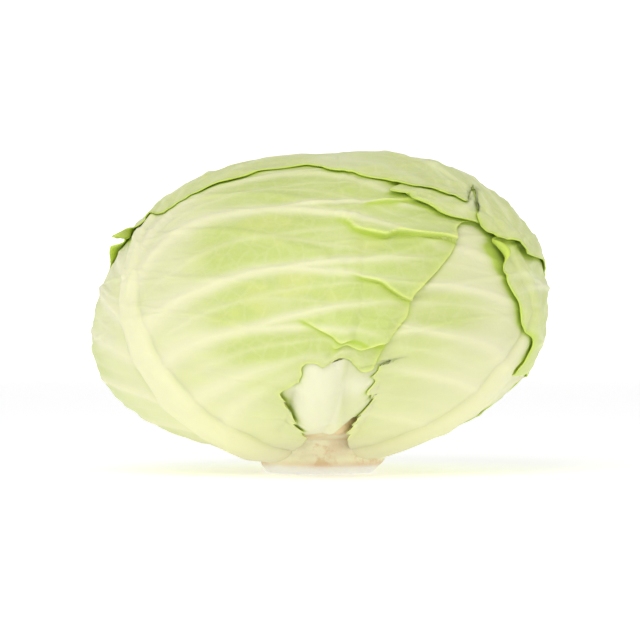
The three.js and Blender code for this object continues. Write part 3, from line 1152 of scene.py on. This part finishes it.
@dataclass(frozen=True)
class StemStub:
    """The trimmed stem: a flat pale cut, a bevel, browned bark and a flare of leaf bases.

    The profile is pairs of radius and height in millimetres, from the middle of the cut to that of
    the hidden top.
    """

    top: float = 32.0
    spokes: int = 288
    between: int = 7
    unevenness: float = 0.018
    uneven_pitch: float = 14.0
    pit_depth: float = 0.5
    pit_pitch: float = 4.0
    leaf_base: float = 2.4
    rim_height: float = 4.2
    profile: tuple[tuple[float, float], ...] = (
        (0.35, 0.0), (0.8, 0.0), (22.4, 0.0), (23.0, 0.25), (24.6, 2.0), (25.1, 2.7), (25.7, 3.6),
        (26.0, 4.6), (26.0, 9.0), (27.5, 13.0), (31.0, 17.5), (32.0, 20.5), (28.0, 24.5), (17.0, 30.0),
    )

    def build(self) -> bpy.types.Object:
        """Turns the profile round the stem's axis, with an uneven outline and shallow scars.

        The radius at an angle is the profile's, times 1 plus broad noise, less small pits that
        are deepest on the bark, and a leaf base flares out on the right. The cut face stays flat.

        Returns:
            The stub's object.
        """
        corners = np.array(self.profile)
        run = np.concatenate([[0.0], np.cumsum(np.hypot(*np.diff(corners, axis=0).T))])
        fine = np.concatenate([np.linspace(run[i], run[i + 1], self.between, endpoint=False)
                               for i in range(len(run) - 1)] + [[run[-1]]])
        radius = np.interp(fine, run, corners[:, 0])[:, None]
        height = np.interp(fine, run, corners[:, 1])[:, None]
        turn = np.linspace(0.0, 2.0 * math.pi, self.spokes, endpoint=False)[None, :]
        ring = (radius * np.cos(turn), radius * np.sin(turn), height)
        place = np.stack(np.broadcast_arrays(*ring), axis=-1)
        bark = smooth(height, 0.2, 3.0)
        squat = place * np.array([1.0, 1.0, 0.4])
        uneven = self.unevenness * lattice_noise(squat, self.uneven_pitch, 3)
        pits = self.pit_depth * rough_noise(place, self.pit_pitch, 9, 3) * bark
        to_the_right = np.exp((np.cos(turn) - 1.0) / 0.06)
        flare = self.leaf_base * to_the_right * smooth(height, 2.0, 7.0) * smooth(height, 16.0, 9.0)
        grown = radius * (1.0 + uneven) + pits + flare
        shape = np.stack([grown * np.cos(turn), grown * np.sin(turn), place[..., 2]], axis=-1)
        points = np.concatenate([shape.reshape(-1, 3), [[0.0, 0.0, 0.0], [0.0, 0.0, self.top]]])
        faces = [ring_faces(len(fine), self.spokes), *cap_faces(len(fine), self.spokes)]
        piece = MeshMaker.make("trimmed_stem", points, faces)
        patchy = 0.55 + 0.45 * lattice_noise(place, 9.0, 21)
        cork = 0.5 * smooth(height, 6.0, 12.0) * smooth(rough_noise(place, 7.0, 33, 2), -0.4, 0.4)
        rim = (bell(height - self.rim_height, 1.3) * patchy + cork).ravel()
        MeshMaker.paint(piece, rim=np.concatenate([np.clip(rim, 0.0, 1.0), [0.0, 0.0]]))
        return piece


def linear(colour: str) -> tuple[float, float, float, float]:
    """Turns an sRGB hex colour into the linear one that shaders use.

    Args:
        colour: The colour, such as #d6e194.

    Returns:
        Linear red, green and blue, and an alpha of 1.
    """
    shares = [int(colour[i:i + 2], 16) / 255.0 for i in (1, 3, 5)]
    flat = [s / 12.92 if s <= 0.04045 else ((s + 0.055) / 1.055) ** 2.4 for s in shares]
    return (*flat, 1.0)


def add_node(tree: bpy.types.NodeTree, kind: str, settings: dict | None = None,
             values: dict | None = None, links: dict | None = None) -> bpy.types.Node:
    """Adds one shader node.

    Args:
        tree: The material's tree.
        kind: The node's type.
        settings: Properties of the node.
        values: Numbers and colours by input name or place.
        links: Output sockets by input name or place.

    Returns:
        The node.
    """
    node = tree.nodes.new(kind)
    for name, value in (settings or {}).items():
        setattr(node, name, value)
    for key, value in (values or {}).items():
        node.inputs[key].default_value = value
    for key, socket in (links or {}).items():
        tree.links.new(socket, node.inputs[key])
    return node


def layered(tree: bpy.types.NodeTree, ground: str,
            layers: Iterable[tuple[bpy.types.NodeSocket, float, str]]) -> bpy.types.NodeSocket:
    """Lays colours over each other, each by its own share.

    Args:
        tree: The material's tree.
        ground: The lowest colour, as sRGB hex.
        layers: From the lowest up: the socket that says where, how much of that counts, and the
            colour as sRGB hex.

    Returns:
        The socket of the colour that shows.
    """
    colour = None
    for where, amount, tone in layers:
        share = add_node(tree, "ShaderNodeMath", {"operation": "MULTIPLY"}, {1: amount}, {0: where})
        blend = add_node(tree, "ShaderNodeMix", {"data_type": "RGBA"}, {6: linear(ground), 7: linear(tone)},
                         {0: share.outputs[0]})
        if colour is not None:
            tree.links.new(colour, blend.inputs[6])
        colour = blend.outputs[2]
    return colour


class Tissue(Enum):
    """The kinds of tissue that the head shows."""

    HEART = "heart"
    INNER = "inner"
    BLADE = "blade"
    BLOOMED = "bloomed"


@dataclass(frozen=True)
class LeafFinish:
    """Cabbage leaf: living tissue under a thin natural wax.

    The wax gives a soft broad gloss. The tissue under it is milky, so light goes a few millimetres
    into it and the shadows stay green. On top of that, shade is painted into the colour as a dark
    green under the outer leaves' edges and below the folds' lips, and a painted highlight runs
    along each lip in the edge colour. Ribs are nearly white, because they hold little green. The
    net of small veins, the blotches and the grain have their real sizes in millimetres, and the
    net is bent by broad noise so that its cells aren't straight. The bloom is how strong the wax's
    sheen is, and the network how far the small veins pale the blade.
    """

    name: str
    white: str
    pale: str
    green: str
    yellow: str
    edge: str
    under: str
    roughness: float
    bloom: float
    network: float
    tan: str = "#e8c795"
    stalk: str = "#f0ecca"
    # the colour of the painted shade
    painted_shade_colour: str = "#b4cc3c"
    cell_mm: float = 7.5
    cells_in_cell: float = 2.7
    blotch_mm: float = 22.0
    grain_mm: float = 1.4
    bend_mm: float = 9.0
    bend_share: float = 0.004
    relief_mm: float = 0.4
    depth_mm: float = 2.6

    def material(self) -> bpy.types.Material:
        """Builds the shader: tone from the blade's fields, a vein network, blotches and wax.

        Returns:
            The material.
        """
        made = bpy.data.materials.new(self.name)
        made.use_nodes = True
        tree = made.node_tree
        tree.nodes.clear()
        field = {name: add_node(tree, "ShaderNodeAttribute", {"attribute_name": name}).outputs["Fac"]
                 for name in ("pale", "green", "edge", "base", "under", "tan", "nook")}
        place = add_node(tree, "ShaderNodeTexCoord").outputs["Object"]
        blotch, grain, bent = (
            add_node(tree, "ShaderNodeTexNoise", links={"Vector": place},
                     values={"Scale": 1.0 / (METRES_PER_MM * size), "Detail": detail, "Roughness": rough})
            for size, detail, rough in ((self.blotch_mm, 3.0, 0.55), (self.grain_mm, 4.0, 0.6),
                                        (self.bend_mm, 2.0, 0.5))
        )
        shifted = add_node(tree, "ShaderNodeMix", {"data_type": "VECTOR"}, {0: self.bend_share},
                           {4: place, 5: bent.outputs["Color"]}).outputs[1]
        net = self.vein_net(tree, shifted, self.cell_mm)
        fine_net = self.vein_net(tree, shifted, self.cell_mm / self.cells_in_cell)
        warm = add_node(tree, "ShaderNodeMapRange", {"interpolation_type": "SMOOTHSTEP"},
                        {1: 0.52, 2: 0.72}, {0: blotch.outputs["Fac"]}).outputs[0]
        warm_green, net_green, fine_green = (
            add_node(tree, "ShaderNodeMath", {"operation": "MULTIPLY"},
                     links={0: part, 1: field["green"]}).outputs[0]
            for part in (warm, net, fine_net)
        )
        colour = layered(tree, self.pale, (
            (field["green"], 1.0, self.green),
            (warm_green, 0.55, self.yellow),
            (net_green, self.network, self.pale),
            (fine_green, 0.45 * self.network, self.pale),
            (field["pale"], 0.75, self.white),
            (field["base"], 0.7, self.stalk),
            # edge colour on the margin, and as a painted highlight on fold lips
            (field["edge"], 0.8, self.edge),
            (field["under"], 0.8, self.under),
            (field["tan"], 1.0, self.tan),
            # painted shade laid over the colour under outer leaves and fold lips
            (field["nook"], 0.85, self.painted_shade_colour),
        ))
        relief = add_node(tree, "ShaderNodeMath", {"operation": "MULTIPLY_ADD"}, {1: 0.3},
                          {0: net, 2: grain.outputs["Fac"]})
        bump = add_node(tree, "ShaderNodeBump", links={"Height": relief.outputs[0]},
                        values={"Strength": 0.22, "Distance": self.relief_mm * METRES_PER_MM})
        rough = add_node(tree, "ShaderNodeMapRange", links={0: grain.outputs["Fac"]},
                         values={3: self.roughness - 0.06, 4: self.roughness + 0.1})
        shader = add_node(tree, "ShaderNodeBsdfPrincipled", {"subsurface_method": "RANDOM_WALK"},
                          {"IOR": 1.42, "Subsurface Weight": 0.35, "Subsurface Radius": (0.9, 1.0, 0.35),
                           "Subsurface Scale": self.depth_mm * METRES_PER_MM,
                           "Sheen Weight": self.bloom, "Sheen Roughness": 0.6,
                           "Specular IOR Level": 0.42},
                          {"Base Color": colour, "Roughness": rough.outputs[0],
                           "Normal": bump.outputs[0]})
        add_node(tree, "ShaderNodeOutputMaterial", links={"Surface": shader.outputs[0]})
        return made

    @staticmethod
    def vein_net(tree: bpy.types.NodeTree, place: bpy.types.NodeSocket, cell_mm: float
                 ) -> bpy.types.NodeSocket:
        """The net of small veins: the borders of cells of a real size, thin and soft.

        Args:
            tree: The material's tree.
            place: The socket of the coordinates, in metres.
            cell_mm: How wide a cell is.

        Returns:
            The socket that is 1 on a vein and 0 between them.
        """
        cells = add_node(tree, "ShaderNodeTexVoronoi", {"feature": "DISTANCE_TO_EDGE"},
                         {"Scale": 1.0 / (METRES_PER_MM * cell_mm)}, {"Vector": place})
        line = add_node(tree, "ShaderNodeMapRange", {"interpolation_type": "SMOOTHSTEP"},
                        {1: 0.0, 2: 0.13, 3: 1.0, 4: 0.0}, {0: cells.outputs["Distance"]})
        return line.outputs[0]


@dataclass(frozen=True)
class StemFinish:
    """Cut cabbage stem: wet pale pith inside, dull bark that browns where the air got to it.

    A ring of vessels shows on the cut, and fades out over its width on both sides. The bark takes
    over from the cut's flesh up the bevel.
    """

    flesh: str = "#fbf9f0"
    bark: str = "#fff8d8"
    oxide: str = "#e3bfa0"
    scar: str = "#e0bd84"
    ring: str = "#e6e8c4"
    ring_radius_mm: float = 16.5
    ring_width_mm: tuple[float, float] = (0.4, 2.2)
    bevel_mm: tuple[float, float] = (3.0, 4.6)
    blotch_mm: float = 7.692
    grain_mm: float = 1.111
    relief_mm: float = 0.8
    depth_mm: float = 2.0

    def material(self) -> bpy.types.Material:
        """Builds the shader: a ring of vessels on the cut, browned rim and scars on the bark.

        Returns:
            The material.
        """
        made = bpy.data.materials.new("cut_stem_flesh")
        made.use_nodes = True
        tree = made.node_tree
        tree.nodes.clear()
        rim = add_node(tree, "ShaderNodeAttribute", {"attribute_name": "rim"}).outputs["Fac"]
        place = add_node(tree, "ShaderNodeTexCoord").outputs["Object"]
        level = add_node(tree, "ShaderNodeVectorMath", {"operation": "MULTIPLY"}, {1: (1.0, 1.0, 0.0)},
                         {0: place})
        away = add_node(tree, "ShaderNodeVectorMath", {"operation": "LENGTH"},
                        links={0: level.outputs["Vector"]})
        past_ring = add_node(tree, "ShaderNodeMath", {"operation": "SUBTRACT"},
                             {1: self.ring_radius_mm * METRES_PER_MM}, {0: away.outputs["Value"]})
        gap = add_node(tree, "ShaderNodeMath", {"operation": "ABSOLUTE"}, links={0: past_ring.outputs[0]})
        inner, outer = (size * METRES_PER_MM for size in self.ring_width_mm)
        vessel = add_node(tree, "ShaderNodeMapRange", {"interpolation_type": "SMOOTHSTEP"},
                          {1: inner, 2: outer, 3: 1.0, 4: 0.0}, {0: gap.outputs[0]}).outputs[0]
        height = add_node(tree, "ShaderNodeSeparateXYZ", links={0: place}).outputs[2]
        low, high = (size * METRES_PER_MM for size in self.bevel_mm)
        on_bark = add_node(tree, "ShaderNodeMapRange", {"interpolation_type": "SMOOTHSTEP"},
                           {1: low, 2: high}, {0: height}).outputs[0]
        blotch, grain = (
            add_node(tree, "ShaderNodeTexNoise", links={"Vector": place},
                     values={"Scale": 1.0 / (METRES_PER_MM * size), "Detail": detail, "Roughness": rough})
            .outputs["Fac"]
            for size, detail, rough in ((self.blotch_mm, 5.0, 0.6), (self.grain_mm, 3.0, 0.5))
        )
        scarred = add_node(tree, "ShaderNodeMapRange", {"interpolation_type": "SMOOTHSTEP"},
                           {1: 0.51, 2: 0.64}, {0: blotch}).outputs[0]
        scar_on_bark = add_node(tree, "ShaderNodeMath", {"operation": "MULTIPLY"},
                                links={0: scarred, 1: on_bark}).outputs[0]
        colour = layered(tree, self.flesh, (
            (vessel, 0.7, self.ring),
            (on_bark, 1.0, self.bark),
            (scar_on_bark, 0.55, self.scar),
            (rim, 0.85, self.oxide),
        ))
        uneven = add_node(tree, "ShaderNodeMath", {"operation": "ADD"}, links={0: blotch, 1: grain})
        bump = add_node(tree, "ShaderNodeBump", links={"Height": uneven.outputs[0]},
                        values={"Strength": 0.5, "Distance": self.relief_mm * METRES_PER_MM})
        shader = add_node(tree, "ShaderNodeBsdfPrincipled", {"subsurface_method": "RANDOM_WALK"},
                          {"IOR": 1.4, "Roughness": 0.62, "Subsurface Weight": 0.3,
                           "Subsurface Radius": (1.0, 0.85, 0.5),
                           "Subsurface Scale": self.depth_mm * METRES_PER_MM,
                           "Specular IOR Level": 0.35},
                          {"Base Color": colour, "Normal": bump.outputs[0]})
        add_node(tree, "ShaderNodeOutputMaterial", links={"Surface": shader.outputs[0]})
        return made


FINISHES: dict[Tissue, LeafFinish] = {
    Tissue.HEART: LeafFinish("heart_leaf_tissue", white="#f3efd6", pale="#eae9c8", green="#d8de9f",
                             yellow="#e2e69a", edge="#e4eab0", under="#e6eac4", roughness=0.42, bloom=0.0,
                             network=0.05, painted_shade_colour="#a9a93a", stalk="#f6f1da"),
    Tissue.INNER: LeafFinish("inner_leaf_tissue", white="#e8e6cc", pale="#dcdfb0", green="#c8d088",
                             yellow="#d8de7e", edge="#d9e58a", under="#e8ecc0", roughness=0.4, bloom=0.0,
                             network=0.08),
    Tissue.BLADE: LeafFinish("waxed_leaf_tissue", white="#e9e7c0", pale="#e6e7b6", green="#c6d47c",
                             yellow="#dadf84", edge="#e2ee88", under="#d6e27a", roughness=0.42, bloom=0.02,
                             network=0.13),
    Tissue.BLOOMED: LeafFinish("bloomed_leaf_tissue", white="#eceec8", pale="#e4e9b4", green="#d3dd8e",
                               yellow="#d6de88", edge="#c9e652", under="#c0da58", roughness=0.5, bloom=0.04,
                               network=0.22),
}


def head_leaves() -> tuple[Leaf, ...]:
    """Lists the six outer leaves.

    Each outline, midrib bow and fold is a short list of the places where it turns, in degrees round
    the head: a bearing and a reach for an outline, and flat degrees across and along the leaf for
    the others.

    Returns:
        The leaves, from the innermost to the outermost.
    """
    return (
        Leaf("leaf_front_rib", 5.0, 8.0, seed=11, grid=200, inner_step=4, rows=16, rib_half_width=14.0,
             rib_height=2.5, edge_lift=0.8, waves=7, tone=Tone(0.1, 0.6),
             outline=((0, 73), (40, 72), (80, 63), (109, 51), (138, 41), (152, 42), (160, 44), (167, 45.5),
                      (171.5, 46), (174.5, 51), (178, 57), (-176, 59), (-168, 60), (-156, 62),
                      (-136, 63), (-100, 66), (-60, 74), (-30, 75)),
             rib_bow=((-60, -3), (-40, -3), (-20, -2), (0, 0)),
             bulges=(Bulge(-3.2, -40.5, 6.8, 18.0, 5.6),),
             slot="inner_leaf"),
        Leaf("leaf_left_back", -127.0, 8.0, seed=12, grid=200, inner_step=4, rows=16,
             edge_lift=1.0, waves=9, tone=Tone(0.2, 0.85),
             outline=((0, 70), (35, 74), (70, 76), (100, 70), (130, 65), (148, 68), (167, 79), (180, 90),
                      (-167, 80), (-150, 67), (-130, 65), (-100, 68), (-70, 74), (-35, 73))),
        Leaf("leaf_front_right", 68.0, 8.0, seed=13, grid=248, inner_step=2, crowding=-0.1, rows=20,
             edge_lift=0.7, waves=11,
             rib_bow=((-88, 0), (-60, -8), (-27, -8), (-19, -4.4), (-12, -1.4), (-6, -1), (1, -2),
                      (8, -7), (20, -10), (40, -10)),
             tone=Tone(0.12, 0.7, (13.0, 35.0), (-50.0, -2.0), 0.32),
             outline=((0, 76), (30, 81), (60, 78), (90, 72), (121, 65), (149, 64), (167, 78),
                      (180, 84), (-165, 80), (-154, 76), (-146, 73), (-140, 70), (-135, 66.5),
                      (-132, 63.5), (-129, 61.5), (-125, 60.5), (-118, 57.3), (-110, 57), (-92, 66),
                      (-40, 74)),
             notches=(Notch(-115.0, 0.8, 4.5),),
             teeth=(Teeth(-144.0, -116.0, 1.6),)),
        Leaf("leaf_front_left", -55.0, 8.0, seed=14, grid=280, inner_step=2, crowding=0.14, rows=20,
             rib_half_width=14.0, edge_lift=0.8, waves=13,
             rib_bow=((-88, 3), (-60, 12), (-38, 11), (-30, 9.4), (-20, 6), (-14, 4.2), (-8, 1.8),
                      (-1, -0.8), (8, -3.7), (16, -7.7), (27, -13), (45, -18), (72, -14)),
             tone=Tone(0.26, 1.0, (16.0, 35.0), (-56.0, -6.0), 0.34),
             outline=((0, 69), (21, 67), (40, 79), (49, 95), (53.8, 94), (56, 89.5), (59.8, 86.8),
                      (65, 86), (71.8, 83.3), (79, 79), (83.6, 75.8), (91, 74.8), (99.7, 73.6),
                      (107, 73.8), (109.2, 71.5), (110.4, 68.6), (111.7, 65.9), (113, 63),
                      (114.9, 59.2), (116.5, 57.2), (121, 57.3), (128.7, 59), (134, 60.5),
                      (138.2, 64.4), (143.7, 69.2), (148, 74.5), (153, 79), (166, 85), (180, 90),
                      (-165, 83), (-149, 70), (-120, 67), (-90, 72), (-50, 74)),
             folds=(Fold(((42, 37), (49.9, 34.9), (53.6, 32.7), (60.6, 32.9), (63.1, 35.8), (67.6, 36.8),
                          (72.7, 38.5), (80, 40)), 4.0),
                    Fold(((57, 15), (62, 14.6), (65.3, 14.3), (68.7, 12.2), (73, 9.3), (79, 7.5)), 3.4),
                    Fold(((49, -4), (53, -6), (57, -9.5), (61.5, -12.5)), 1.5, overhang=1.6),
                    Fold(((48, 44), (55, 47.5), (61.9, 54.7)), 1.6, overhang=1.2),
                    Fold(((57, -15.4), (61, -15.4), (64.4, -16.1), (67.8, -13.2), (71, -11)), 2.8)),
             vein_paths=((26, 48, 22), (10, 50, 22), (3, 40, 27), (-14, 37, 36), (-30, 28, 26),
                         (-47, 32, 34), (-66, 60, 42)),
             teeth=(Teeth(118.0, 150.0, 1.3),),
             stand_offs=(StandOff(137.0, 7.0, 1.5),),
             drifts=(Drift(112.0, 10.0, ((50, 0), (57, -2.2), (59.2, -2.0), (61.6, 0.4), (63.6, -3.6),
                                         (66, -2.6), (68.6, 0.8), (71.5, 4.4), (73.7, 5.2), (80, 5.2))),)),
        Leaf("leaf_right_back", 125.0, 5.0, seed=15, grid=224, inner_step=2, crowding=-0.1, rows=16,
             rib_height=3.5, edge_lift=0.9, waves=9, tone=Tone(0.35, 0.95, (8.0, 30.0)),
             stand_offs=(StandOff(-88.0, 24.0, 1.2), StandOff(-49.0, 8.0, 1.6), StandOff(-66.0, 6.0, 1.5)),
             curls=(Curl(-68.0, 5.0, 6.5, 2.4),),
             bright_tip=(-109.0, 10.0, 16.0),
             outline=((0, 86), (-18, 91), (-30, 91), (-38, 91), (-41, 94), (-43.5, 98.5),
                      (-48.3, 95), (-52.4, 91), (-55.4, 87), (-56.8, 80), (-58.2, 72), (-60.6, 70.5),
                      (-62.6, 75), (-64.4, 76.8), (-70, 74.5), (-78.9, 71.8), (-85, 69.6), (-91.9, 67.6),
                      (-96, 65), (-100, 61.5), (-103, 60.5), (-108.6, 63.5), (-113, 65), (-116.5, 63.5),
                      (-119, 58), (-123, 50), (-133, 45), (-141, 46), (-154, 60), (-166, 75), (180, 83),
                      (168, 76), (147, 65), (110, 67), (70, 77), (35, 84)),
             slot="green_leaf"),
        Leaf("leaf_back", 180.0, 12.0, seed=16, grid=276, inner_step=2, rows=20, rib_height=3.5,
             edge_lift=1.2, waves=13, tone=Tone(0.55, 1.0, (4.0, 22.0)),
             stand_offs=(StandOff(-58.0, 12.0, 2.2),),
             notches=(Notch(-38.5, 2.1, 9.0),),
             drifts=(Drift(-38.0, 8.0, ((97, 3.5), (103, 3), (108, 1.5), (113, 0), (120, 0))),
                     Drift(58.0, 2.8, ((91, 0), (96, 0.6), (102, 2.6)))),
             curls=(Curl(58.0, 1.8, 13.0, 10.0), Curl(65.5, 4.5, 9.0, 11.0)),
             outline=((0, 113), (9, 104.5), (15, 105), (24, 106), (33, 104), (40, 104.5), (44, 106),
                      (50, 98), (53, 95), (56, 94), (58, 101), (60, 92), (63, 90), (66.5, 89),
                      (71, 84), (78, 80), (92, 72),
                      (116, 61), (141, 63), (165, 80), (180, 94), (-161, 83), (-139, 66), (-114, 61),
                      (-90, 68), (-74, 81), (-70.5, 88), (-67, 97), (-63.3, 107.5), (-58.4, 113),
                      (-53.4, 114.5), (-49.5, 116.5), (-45.3, 116), (-42.3, 117), (-37.8, 113),
                      (-34.6, 114.5), (-28.6, 115.5), (-22, 115.2), (-11, 116)),
             slot="green_leaf"),
    )


TISSUES = {
    "leaf_front_rib": Tissue.INNER,
    "leaf_left_back": Tissue.BLADE,
    "leaf_front_right": Tissue.BLADE,
    "leaf_front_left": Tissue.BLADE,
    "leaf_right_back": Tissue.BLOOMED,
    "leaf_back": Tissue.BLOOMED,
}


@dataclass(frozen=True)
class Softbox:
    """A square soft light: its name, its place and size in metres, and its power in watts."""

    name: str
    place: tuple[float, float, float]
    size: float
    power: float


@dataclass(frozen=True)
class Studio:
    """A white sweep, soft daylight from above and in front, and a long lens at table height.

    A low fill lights the stem under the leaves. Lengths are in metres.
    """

    frame_width: float = 0.2807
    aim_height: float = 0.0667
    distance: float = 1.5
    sensor: float = 36.0
    floor_glow: float = 0.39
    wall_glow: float = 0.6
    daylight: float = 0.8
    exposure: float = -0.36
    spokes: int = 64
    lights: tuple[Softbox, ...] = (
        Softbox("top_softbox", (-0.35, -1.1, 1.05), 0.9, 9.0),
        Softbox("low_fill", (0.1, -1.0, 0.12), 0.5, 0.5),
    )
    rings: tuple[tuple[float, float], ...] = (
        (0.6, 0.0), (1.2, 0.0), (1.8, 0.0), (2.4, 0.0), (2.7, 0.03), (2.95, 0.11), (3.1, 0.25),
        (3.18, 0.42), (3.2, 0.6),
    )

    def build(self) -> None:
        """Makes the sweep, the lights and the camera."""
        self.sweep()
        for softbox in self.lights:
            self.light(softbox)
        world = bpy.data.worlds.new("daylight")
        world.use_nodes = True
        sky = world.node_tree.nodes["Background"]
        sky.inputs["Color"].default_value = (1.0, 1.0, 1.0, 1.0)
        sky.inputs["Strength"].default_value = self.daylight
        scene = bpy.context.scene
        scene.world = world
        scene.view_settings.view_transform = "Standard"
        scene.view_settings.exposure = self.exposure
        lens = bpy.data.cameras.new("long_lens")
        lens.sensor_width = self.sensor
        lens.lens = self.sensor * self.distance / self.frame_width
        camera = bpy.data.objects.new("long_lens", lens)
        camera.location = (0.0, -self.distance, self.aim_height)
        camera.rotation_euler = (math.pi / 2.0, 0.0, 0.0)
        scene.collection.objects.link(camera)
        scene.camera = camera

    def sweep(self) -> None:
        """Makes a white floor that bends up into a white wall, all round the head.

        Rings of vertices, given by radius and height, are joined and closed in the middle. The
        floor's faces and the wall's glow differently.
        """
        rings = np.array(self.rings)
        turn = np.linspace(0.0, 2.0 * math.pi, self.spokes, endpoint=False)
        height = np.repeat(rings[:, 1:], self.spokes, axis=1)
        round_about = np.stack([np.outer(rings[:, 0], np.cos(turn)), np.outer(rings[:, 0], np.sin(turn)),
                                height], axis=-1).reshape(-1, 3)
        points = np.concatenate([round_about, [[0.0, 0.0, 0.0]]]) / METRES_PER_MM
        middle, _ = cap_faces(len(rings), self.spokes)
        piece = MeshMaker.make("white_sweep", points, [ring_faces(len(rings), self.spokes), middle])
        piece.data.materials.append(self.paper("white_floor_paper", self.floor_glow))
        piece.data.materials.append(self.paper("white_wall_paper", self.wall_glow))
        rising = np.repeat(rings[1:, 1] > 0.0, self.spokes)
        upright = np.concatenate([rising, np.zeros(self.spokes, bool)])
        piece.data.polygons.foreach_set("material_index", upright.astype(np.int32))

    @staticmethod
    def paper(name: str, glow: float) -> bpy.types.Material:
        """Matt white paper, lit a little from behind.

        Args:
            name: The material's name.
            glow: How strongly it is lit from behind.

        Returns:
            The material.
        """
        made = bpy.data.materials.new(name)
        made.use_nodes = True
        shader = made.node_tree.nodes["Principled BSDF"]
        shader.inputs["Base Color"].default_value = linear("#fbfbfb")
        shader.inputs["Roughness"].default_value = 0.9
        shader.inputs["Emission Color"].default_value = (1.0, 1.0, 1.0, 1.0)
        shader.inputs["Emission Strength"].default_value = glow
        return made

    def light(self, softbox: Softbox) -> None:
        """Adds a soft light that faces the head's middle.

        Args:
            softbox: The light.
        """
        lamp = bpy.data.lights.new(softbox.name, "AREA")
        lamp.shape = "SQUARE"
        lamp.size = softbox.size
        lamp.energy = softbox.power
        holder = bpy.data.objects.new(softbox.name, lamp)
        holder.location = softbox.place
        aim = np.array([0.0, 0.0, self.aim_height]) - np.array(softbox.place)
        level = math.hypot(aim[0], aim[1])
        turn = math.atan2(aim[1], aim[0]) - math.pi / 2.0
        holder.rotation_euler = (math.atan2(level, -aim[2]), 0.0, turn)
        bpy.context.scene.collection.objects.link(holder)


def settle(piece: bpy.types.Object, node: str, material: bpy.types.Material
           ) -> None:
    """Gives a piece its material, and says which node it stands for and what carries it.

    Args:
        piece: The finished piece.
        node: The node of the frame that it replaces.
        material: Its finish.
    """
    piece.data.materials.append(material)
    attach(piece, "root")
    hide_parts(node)
    log.info("%s stands for %s: %d faces", piece.name, node, len(piece.data.polygons))


def main() -> None:
    """Builds the stem, the inner head and the leaves in order, then the studio."""
    settle(StemStub().build(), "stem_stub", StemFinish().material())
    materials = {tissue: finish.material() for tissue, finish in FINISHES.items()}
    settle(InnerHead().build(), "inner_head", materials[Tissue.HEART])
    wrap = LeafWrap(head_leaves())
    for index, leaf in enumerate(wrap.leaves):
        settle(wrap.build(index), leaf.name, materials[TISSUES[leaf.name]])
    Studio().build()


if __name__ == "__main__":
    logging.basicConfig(level=logging.INFO, format="%(name)s: %(message)s")
    main()
